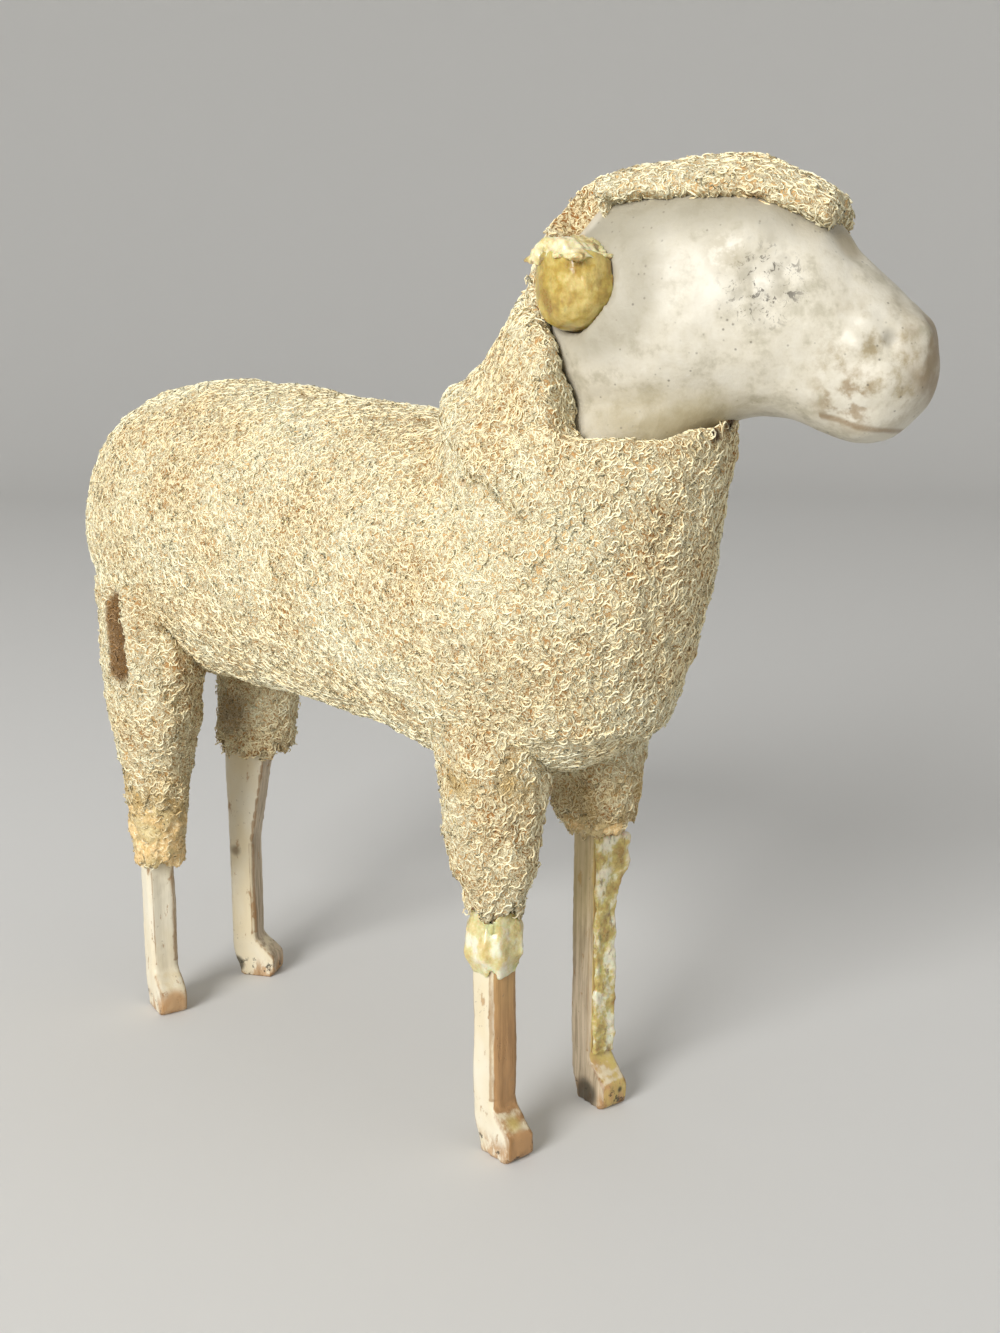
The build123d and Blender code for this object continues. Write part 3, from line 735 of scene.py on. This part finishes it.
makeHead()
for nodeName in sorted(nodes):
    if nodeName.startswith("leg_"):
        makeWornLeg("worn" + nodeName.title().replace("_", ""), nodeName)
for side in ("right", "left"):
    makeGlueLump("earGlue" + side.capitalize(), "ear_glue_" + side, earGlue)
makeGlueLump("glueCollar", "glue_collar_front_right", collarGlue)
makeGlueLump("glueRun", "glue_run_front_left", runGlue)
print("head, legs and glue ready")

# The matted surface: the size and height of its swells, lumps and knots, and its ground height
fleeceRelief = {
    "swells": (6.5, 0.4),
    "lumps": (2.1, 0.26),
    "knots": (1.1, 0.42),
    "ground": 0.16,
}

# The way the fibres lie: along the back, rising forwards over the chest
fleeceFlow = {
    "back": (1, 0, 0.1),
    "chest": (0.55, 0.1, 0.85),
    "chestFrom": 8,
    "chestOver": 22,
    "swirlSize": 7,
    "swirl": 0.5,
    "seed": 11,
}
noise.seed_set(fleeceFlow["seed"])  # without it the swirl would follow the clock

# The proud edge of the neck's cloth over the withers, ragged along its seam
witherLip = {
    "back": (14.2, 85.4),
    "front": (44.0, 68.6),
    "height": 1.8,
    "reach": 6.0,
    "edge": 0.6,
    "lowest": 75.0,
    "fadeOver": 5,
    "ragged": (2.4, 1.3),
}

# The point that the collar's cloth makes under the chin
collarTip = {
    "middle": (45.2, 1.9, 85.6),
    "radius": 3,
    "pull": (0.5, 0, 1.9),
}

# The cleft between the tail and the right thigh; where it is deeper than bareDepth no curls grow
tailCleft = {
    "top": (-38.8, -16.4, 60.5),
    "foot": (-37.6, -16.9, 50.0),
    "radius": 2.3,
    "depth": 3.6,
    "bareDepth": 1.4,
}

# The spot behind the right ear where the crown's cloth is worn away
crownWear = {
    "middle": (29.8, -5.5, 106.2),
    "radius": 3.4,
    "depth": 7,
}

# How near the crown's cloth lies to the head where it is drawn onto it, from how far, and how
# squarely what lies further off has to look at it
crownSeat = {
    "gap": 0.05,
    "near": 0.75,
    "far": 3.0,
    "squarely": -0.8,
}

hemTears = ((1.7, 1), (0.8, 0.6))  # size and height of the tears in a hem
wallGap = 0.3  # how far off a wall the look for the next wall starts
farWall = 60  # how far that look reaches
fleeceSoftening = 3


def outerShare(form):
    # 1 on the outside of a shell, 0 where a vertex looks at another wall of it
    tree = BVHTree.FromBMesh(form)
    shares = []
    for vert in form.verts:
        hit = tree.ray_cast(vert.co + vert.normal * (wallGap * mm), vert.normal, farWall * mm)
        shares.append(0.0 if hit[0] else 1.0)
    return shares


def woolLift(place):
    # how far the matted surface rises at a place, in millimetres
    relief = fleeceRelief
    knots = relief["ground"] - abs(swell(place, *relief["knots"]))
    return swell(place, *relief["swells"]) + swell(place, *relief["lumps"]) + knots


def woolFlow(place):
    flow = fleeceFlow
    chest = min(max((place.x / mm - flow["chestFrom"]) / flow["chestOver"], 0), 1)
    along = Vector(flow["back"]).lerp(Vector(flow["chest"]), chest)
    swirl = noise.noise_vector(place / (flow["swirlSize"] * mm)) * flow["swirl"]
    return (along + swirl).normalized()


def collarPeak(place):
    away = (place / mm - Vector(collarTip["middle"])).length / collarTip["radius"]
    return Vector(collarTip["pull"]) * (max(1 - away * away, 0) * mm)


def cleftDepth(place):
    top = Vector(tailCleft["top"])
    way = Vector(tailCleft["foot"]) - top
    offset = place / mm - top
    share = min(max(offset.dot(way) / way.length_squared, 0), 1)
    away = (offset - way * share).length / tailCleft["radius"]
    return max(1 - away * away, 0) * tailCleft["depth"]


def lipLift(place):
    lip = witherLip
    (backX, backZ), (frontX, frontZ) = lip["back"], lip["front"]
    along = Vector((frontX - backX, frontZ - backZ)).normalized()
    offset = Vector((place.x / mm - backX, place.z / mm - backZ))
    above = along.x * offset.y - along.y * offset.x + swell(place, *lip["ragged"])
    if above < 0 or above > lip["reach"]:
        return 0
    near = min(above / lip["edge"], 1) * (1 - above / lip["reach"])
    high = min(max((place.z / mm - lip["lowest"]) / lip["fadeOver"], 0), 1)
    return near * high * lip["height"]


def drawn(place, pull):
    # how far a piece is drawn aside above a height, in millimetres
    return min(max((place.z / mm - pull["above"]) / pull["over"], 0), 1) * pull["by"]


def hemDrop(place, hem):
    # how far the torn lower edge hangs lower or is raised, in millimetres
    low = 1 - (place.z - hem["bottom"] * mm) / (hem["reach"] * mm)
    tear = sum(swell(place, size, height) for size, height in hemTears)
    return min(max(low, 0), 1) * (tear * hem["tear"] + hem["raised"])


def seatCrown(form):
    # the crown's underside is drawn onto the head, and its worn spot down into it
    head = formOf(nodes["head"].data)
    tree = BVHTree.FromBMesh(head)
    head.free()
    spot = Vector(crownWear["middle"])
    inwards = (Vector(headFrame["middle"]) - spot).normalized()
    for vert in form.verts:
        seat, normal = tree.find_nearest(vert.co, crownSeat["near"] * mm)[:2]
        if seat is None:
            seat, normal = tree.ray_cast(vert.co, vert.normal, crownSeat["far"] * mm)[:2]
            if seat and normal.dot(vert.normal) > crownSeat["squarely"]:
                seat = None
        if seat:
            vert.co = seat + normal * (crownSeat["gap"] * mm)
        away = (vert.co / mm - spot).length / crownWear["radius"]
        vert.co += inwards * (max(1 - away * away, 0) * crownWear["depth"] * mm)


def makeFleece(name, nodeNames, voxel, lift=1.0, sink=0.1, hem=None, rise=None, tuck=None,
               seated=False, material=woolBase, slot="fleece"):
    mesh = shapedCopy(nodeNames, voxel, fleeceSoftening)
    form = formOf(mesh)
    places = [vert.co.copy() for vert in form.verts]
    shares = [0.0 if cleftDepth(place) > tailCleft["bareDepth"] else share
              for place, share in zip(places, outerShare(form))]
    for vert, share, place in zip(form.verts, shares, places):
        vert.co -= vert.normal * (cleftDepth(place) * mm)
        if not share:
            continue
        vert.co += vert.normal * ((woolLift(place) * lift - sink + lipLift(place)) * mm)
        vert.co += collarPeak(place)
        if rise:
            vert.co.z += drawn(place, rise) * mm
        if tuck:
            vert.co.x += drawn(place, tuck) * mm
        if hem:
            vert.co.z += hemDrop(place, hem) * mm
    if seated:
        seatCrown(form)
    keepForm(form, mesh, outer=shares)
    flow = mesh.attributes.new("flow", "FLOAT_VECTOR", "POINT")
    flow.data.foreach_set("vector", [number for place in places for number in woolFlow(place)])
    return addCover(name, mesh, material, nodeNames)


# Each fleece piece: the size of its mesh cells, how strongly it is matted, how far it is sunk, its
# torn hem, and how it is drawn up or forwards above a height
earWool = {
    "voxel": 0.18, "lift": 1.5, "sink": -0.1, "material": glues["crumbled glue"],
    "hem": {"bottom": 99.6, "reach": 2.4, "tear": 1.1, "raised": 1.4},
}
cuffWool = {"voxel": 0.3, "lift": 1.2, "sink": 0.35, "slot": "dried_glue", "material": soakedWool}
cuffs = {
    "Front": ("glue_cuff_front_left", {"bottom": 36.4, "reach": 3.0, "tear": 1.8, "raised": 0}),
    "Hind": ("glue_cuff_hind_right", {"bottom": 23.6, "reach": 3.0, "tear": 1.8, "raised": 0}),
}
coatWool = {"voxel": 0.76}
crownWool = {"voxel": 0.4, "sink": 0, "seated": True}
tailWool = {
    "voxel": 0.45,
    "tuck": {"above": 63, "over": 9, "by": 3.4},
    "hem": {"bottom": 32.0, "reach": 3.0, "tear": 1.2, "raised": 0},
}
sleeveWool = {"voxel": 0.45, "lift": 1.5, "rise": {"above": 42, "over": 4, "by": 0.9}}
sleeves = {
    "FrontRight": ("fleece_sleeve_front_right", {"bottom": 30.2, "reach": 3.0, "tear": 2.6, "raised": 0}),
    "FrontLeft": ("fleece_sleeve_front_left", {"bottom": 39.0, "reach": 3.0, "tear": 2.2, "raised": -1.0}),
    "HindRight": ("fleece_sleeve_hind_right", {"bottom": 33.0, "reach": 3.0, "tear": 3.0, "raised": -2.2}),
    "HindLeft": ("fleece_sleeve_hind_left", {"bottom": 36.0, "reach": 3.0, "tear": 3.0, "raised": 0}),
}

for side in ("right", "left"):
    makeFleece("earWool" + side.capitalize(), ["ear_root_" + side], **earWool)
cuffFleece = [makeFleece("glueCuff" + side, [nodeName], hem=hem, **cuffWool)
              for side, (nodeName, hem) in cuffs.items()]
coatFleece = makeFleece("coatWool", ["fleece_body", "fleece_neck"], **coatWool)
crownFleece = makeFleece("crownWool", ["fleece_crown"], **crownWool)
tailFleece = makeFleece("tailWool", ["fleece_tail"], **tailWool)
sleeveFleece = {side: makeFleece("sleeveWool" + side, [nodeName], hem=hem, **sleeveWool)
                for side, (nodeName, hem) in sleeves.items()}
print("fleece ready")

# One fibre of wool, which arches over its steps; each girth is a share of the one before
curlShape = {
    "radius": 0.105,
    "step": 0.4,
    "arch": 0.16,
    "sunk": 0.06,
    "foot": 0.6,
    "girth": (1.6, 1.05, 1.0, 0.55),
    # the height where the painted shade under a fibre starts to lighten, and over how much
    "crestFrom": -0.12,
    "crestOver": 0.28,
}

# How far each fibre turns at each of its steps, in radians
curlTurns = (
    (0.6, 1.0, 1.0, 0.8),
    (-0.5, -1.0, -1.1, -0.7),
    (0.9, -0.8, -1.0, 0.7),
    (1.2, 1.3, 1.2, 1.1),
    (-1.2, -1.3, -1.2, -1.0),
    (0.4, -0.7, 0.8, -0.6),
    (-0.8, 1.1, 0.6, -0.9),
)


def makeCurl(name, turns):
    # one fibre lying on the wool: a three-sided tube that bends by the given turns
    shape = curlShape
    form = bmesh.new()
    bmesh.ops.create_circle(form, cap_ends=True, segments=3, radius=shape["radius"] * mm)
    bmesh.ops.rotate(form, verts=form.verts, matrix=Matrix.Rotation(math.pi / 2, 3, "Y"))
    bmesh.ops.scale(form, verts=form.verts, vec=[shape["foot"]] * 3)
    bmesh.ops.translate(form, verts=form.verts, vec=(
        -shape["step"] * len(turns) / 2 * mm, 0, -shape["sunk"] * mm))
    heading = -sum(turns) / 2
    face = form.faces[:][0]
    bmesh.ops.rotate(form, cent=face.calc_center_median(), verts=form.verts,
                     matrix=Matrix.Rotation(heading, 3, "Z"))
    for place, (turn, size) in enumerate(zip(turns, shape["girth"])):
        grown = bmesh.ops.extrude_face_region(form, geom=[face])
        face = [item for item in grown["geom"] if isinstance(item, bmesh.types.BMFace)][0]
        heading += turn
        rise = math.cos((place + 0.5) / len(turns) * math.pi) * shape["arch"]
        step = Vector((math.cos(heading), math.sin(heading), rise)) * (shape["step"] * mm)
        bmesh.ops.translate(form, verts=face.verts, vec=step)
        centre = face.calc_center_median()
        bmesh.ops.rotate(form, cent=centre, verts=face.verts, matrix=Matrix.Rotation(turn, 3, "Z"))
        bmesh.ops.scale(form, vec=[size] * 3, verts=face.verts, space=Matrix.Translation(-centre))
    bmesh.ops.recalc_face_normals(form, faces=form.faces)
    # painted shade: 0, darkest, at the fibre's foot and underside, 1, lightest, along its crest
    undersideShades = [min(max((vert.co.z / mm - shape["crestFrom"]) / shape["crestOver"], 0), 1)
              for vert in form.verts]
    mesh = bpy.data.meshes.new(name)
    keepForm(form, mesh, crest=undersideShades)
    smoothFaces(mesh)
    return mesh


curls = bpy.data.collections.new("curlShapes")
for place, turns in enumerate(curlTurns):
    name = "curl%d" % place
    curls.objects.link(bpy.data.objects.new(name, makeCurl(name, turns)))

# How curls are strewn over a piece: least spacing in millimetres, most to the square millimetre,
# how far each tilts and spins, its size, and its tint from dark to pale
curlSpread = {
    "spacing": 0.5,
    "crowd": 4.0,
    "tilt": 0.16,
    "spin": 0.9,
    "small": 0.75,
    "large": 1.3,
    "dark": 0.35,
    "pale": 1.0,
}


def scatterTree(name, seed, spread):
    # the nodes that strew the curls over the outside of a mesh, laid along its flow
    tree = bpy.data.node_groups.new(name, "GeometryNodeTree")
    tree.interface.new_socket("Geometry", in_out="INPUT", socket_type="NodeSocketGeometry")
    tree.interface.new_socket("Geometry", in_out="OUTPUT", socket_type="NodeSocketGeometry")

    def add(kind, options={}, values={}):
        made = tree.nodes.new(kind)
        for key, value in options.items():
            setattr(made, key, value)
        for key, value in values.items():
            if isinstance(value, bpy.types.NodeSocket):
                tree.links.new(value, made.inputs[key])
            else:
                made.inputs[key].default_value = value
        return made

    source = add("NodeGroupInput")
    outer = add("GeometryNodeInputNamedAttribute", {"data_type": "FLOAT"}, {"Name": "outer"})
    points = add("GeometryNodeDistributePointsOnFaces", {"distribute_method": "POISSON"}, {
        "Mesh": source.outputs[0], "Distance Min": spread["spacing"] * mm,
        "Density Max": spread["crowd"] / (mm * mm), "Density Factor": outer.outputs[0], "Seed": seed})
    flow = add("GeometryNodeInputNamedAttribute", {"data_type": "FLOAT_VECTOR"}, {"Name": "flow"})
    laid = add("FunctionNodeAlignRotationToVector", {"axis": "X", "pivot_axis": "Z"}, {
        "Rotation": points.outputs["Rotation"], "Factor": 1.0, "Vector": flow.outputs[0]})
    tilt, spin = spread["tilt"], spread["spin"]
    chance = add("FunctionNodeRandomValue", {"data_type": "FLOAT_VECTOR"}, {
        0: (-tilt, -tilt, -spin), 1: (tilt, tilt, spin), "Seed": seed + 1})
    turned = add("FunctionNodeRotateRotation", {"rotation_space": "LOCAL"}, {
        "Rotation": laid.outputs[0], "Rotate By": chance.outputs[0]})
    size = add("FunctionNodeRandomValue", {"data_type": "FLOAT"}, {
        2: spread["small"], 3: spread["large"], "Seed": seed + 2})
    kinds = add("GeometryNodeCollectionInfo", {}, {
        "Collection": curls, "Separate Children": True, "Reset Children": True})
    strewn = add("GeometryNodeInstanceOnPoints", {}, {
        "Points": points.outputs["Points"], "Instance": kinds.outputs[0], "Pick Instance": True,
        "Rotation": turned.outputs[0], "Scale": size.outputs["Value"]})
    tint = add("FunctionNodeRandomValue", {"data_type": "FLOAT"}, {
        2: spread["dark"], 3: spread["pale"], "Seed": seed + 3})
    tinted = add("GeometryNodeStoreNamedAttribute", {"data_type": "FLOAT", "domain": "INSTANCE"}, {
        "Geometry": strewn.outputs[0], "Name": "tint", "Value": tint.outputs["Value"]})
    real = add("GeometryNodeRealizeInstances", {}, {"Geometry": tinted.outputs[0]})
    add("NodeGroupOutput", {}, {0: real.outputs[0]})
    return tree


def strewCurls(name, base, seed, **changes):
    helper = linked(name + "Helper", base.data)
    strewing = helper.modifiers.new("strew", "NODES")
    strewing.node_group = scatterTree(name, seed, {**curlSpread, **changes})
    mesh = evaluated(helper)
    bpy.data.objects.remove(helper)
    addPiece(name, mesh, woolCurl)


coatCurls = {"spacing": 1.18, "spin": 1.2}
coatLayers = 6  # sparse layers, because one dense piece would be too heavy
crownCurls = {"spin": 2.0}
cuffCurls = {"spacing": 0.75, "small": 0.6, "large": 1.0}
curlSeeds = {"coat": 5, "crown": 205, "tail": 215, "sleeves": 225, "cuffs": 275}
seedStep = 10

for layer in range(coatLayers):
    strewCurls("coatCurls%d" % layer, coatFleece, curlSeeds["coat"] + seedStep * layer, **coatCurls)
strewCurls("crownCurls", crownFleece, curlSeeds["crown"], **crownCurls)
strewCurls("tailCurls", tailFleece, curlSeeds["tail"])
for place, (side, base) in enumerate(sleeveFleece.items()):
    strewCurls("sleeveCurls" + side, base, curlSeeds["sleeves"] + seedStep * place)
for place, base in enumerate(cuffFleece):
    strewCurls("cuffCurls%d" % place, base, curlSeeds["cuffs"] + seedStep * place, **cuffCurls)
print("curls ready")

# The studio is given in metres
studio = {
    "floorRadius": 0.9,
    "cornerRadius": 0.5,
    "cornerSteps": 12,
    "wallHeight": 1.6,
    "roundSteps": 64,
    "floorTone": tone(218, 217, 214),
    "keyPower": 10.0,
    "keySize": 0.5,
    "keyPlace": (0.08, -0.9, 0.44),
    "fillPower": 0.4,
    "fillSize": 0.9,
    "fillPlace": (0.75, 0.25, 0.5),
    "lit": (0, 0, 0.055),
    "skyStrength": 0.52,
}


def makeBackdrop():
    # a round floor that sweeps up into a wall
    form = bmesh.new()
    radius, corner, steps = studio["floorRadius"], studio["cornerRadius"], studio["cornerSteps"]
    profile = [(radius, 0)]
    for step in range(1, steps + 1):
        angle = step / steps * math.pi / 2
        profile.append((radius + corner * math.sin(angle), corner * (1 - math.cos(angle))))
    profile.append((radius + corner, studio["wallHeight"]))
    last = form.verts.new((0, 0, 0))
    for across, height in profile:
        here = form.verts.new((across, 0, height))
        form.edges.new((last, here))
        last = here
    bmesh.ops.spin(form, geom=form.verts[:] + form.edges[:], cent=(0, 0, 0), axis=(0, 0, 1),
                   angle=math.tau, steps=studio["roundSteps"], use_merge=True)
    bmesh.ops.remove_doubles(form, verts=form.verts, dist=0.01 * mm)
    bmesh.ops.recalc_face_normals(form, faces=form.faces)
    mesh = bpy.data.meshes.new("backdrop")
    keepForm(form, mesh)
    smoothFaces(mesh)
    floor = Finish("pale floor", Roughness=0.8, Specular_IOR_Level=0.2, Base_Color=studio["floorTone"])
    mesh.materials.append(floor.material)
    linked("backdrop", mesh)


def aimed(name, data, place, target):
    # a lamp or camera that looks from a place at a target
    holder = linked(name, data)
    holder.location = place
    holder.rotation_euler = (Vector(target) - Vector(place)).to_track_quat("-Z", "Y").to_euler()
    return holder


def addLamp(kind):
    lamp = bpy.data.lights.new(kind + "Lamp", "AREA")
    lamp.shape = "DISK"
    lamp.size = studio[kind + "Size"]
    lamp.energy = studio[kind + "Power"]
    aimed(kind + "Lamp", lamp, studio[kind + "Place"], studio["lit"])


makeBackdrop()
addLamp("key")
addLamp("fill")
sky = bpy.data.worlds.new("sky")
sky.use_nodes = True
sky.node_tree.nodes["Background"].inputs["Color"].default_value = (1, 1, 1, 1)
sky.node_tree.nodes["Background"].inputs["Strength"].default_value = studio["skyStrength"]
scene.world = sky
scene.view_settings.view_transform = "Standard"

view = {
    "place": (118.337, -123.477, 90.9),
    "target": (14.737, 0.023, 56.6),
    "lens": 37.8,
    "sensor": 36,
    "nearest": 5,
}
lens = bpy.data.cameras.new("camera")
lens.lens = view["lens"]
lens.sensor_width = view["sensor"]
lens.clip_start = view["nearest"] * mm
scene.camera = aimed("camera", lens, Vector(view["place"]) * mm, Vector(view["target"]) * mm)
print("studio ready")
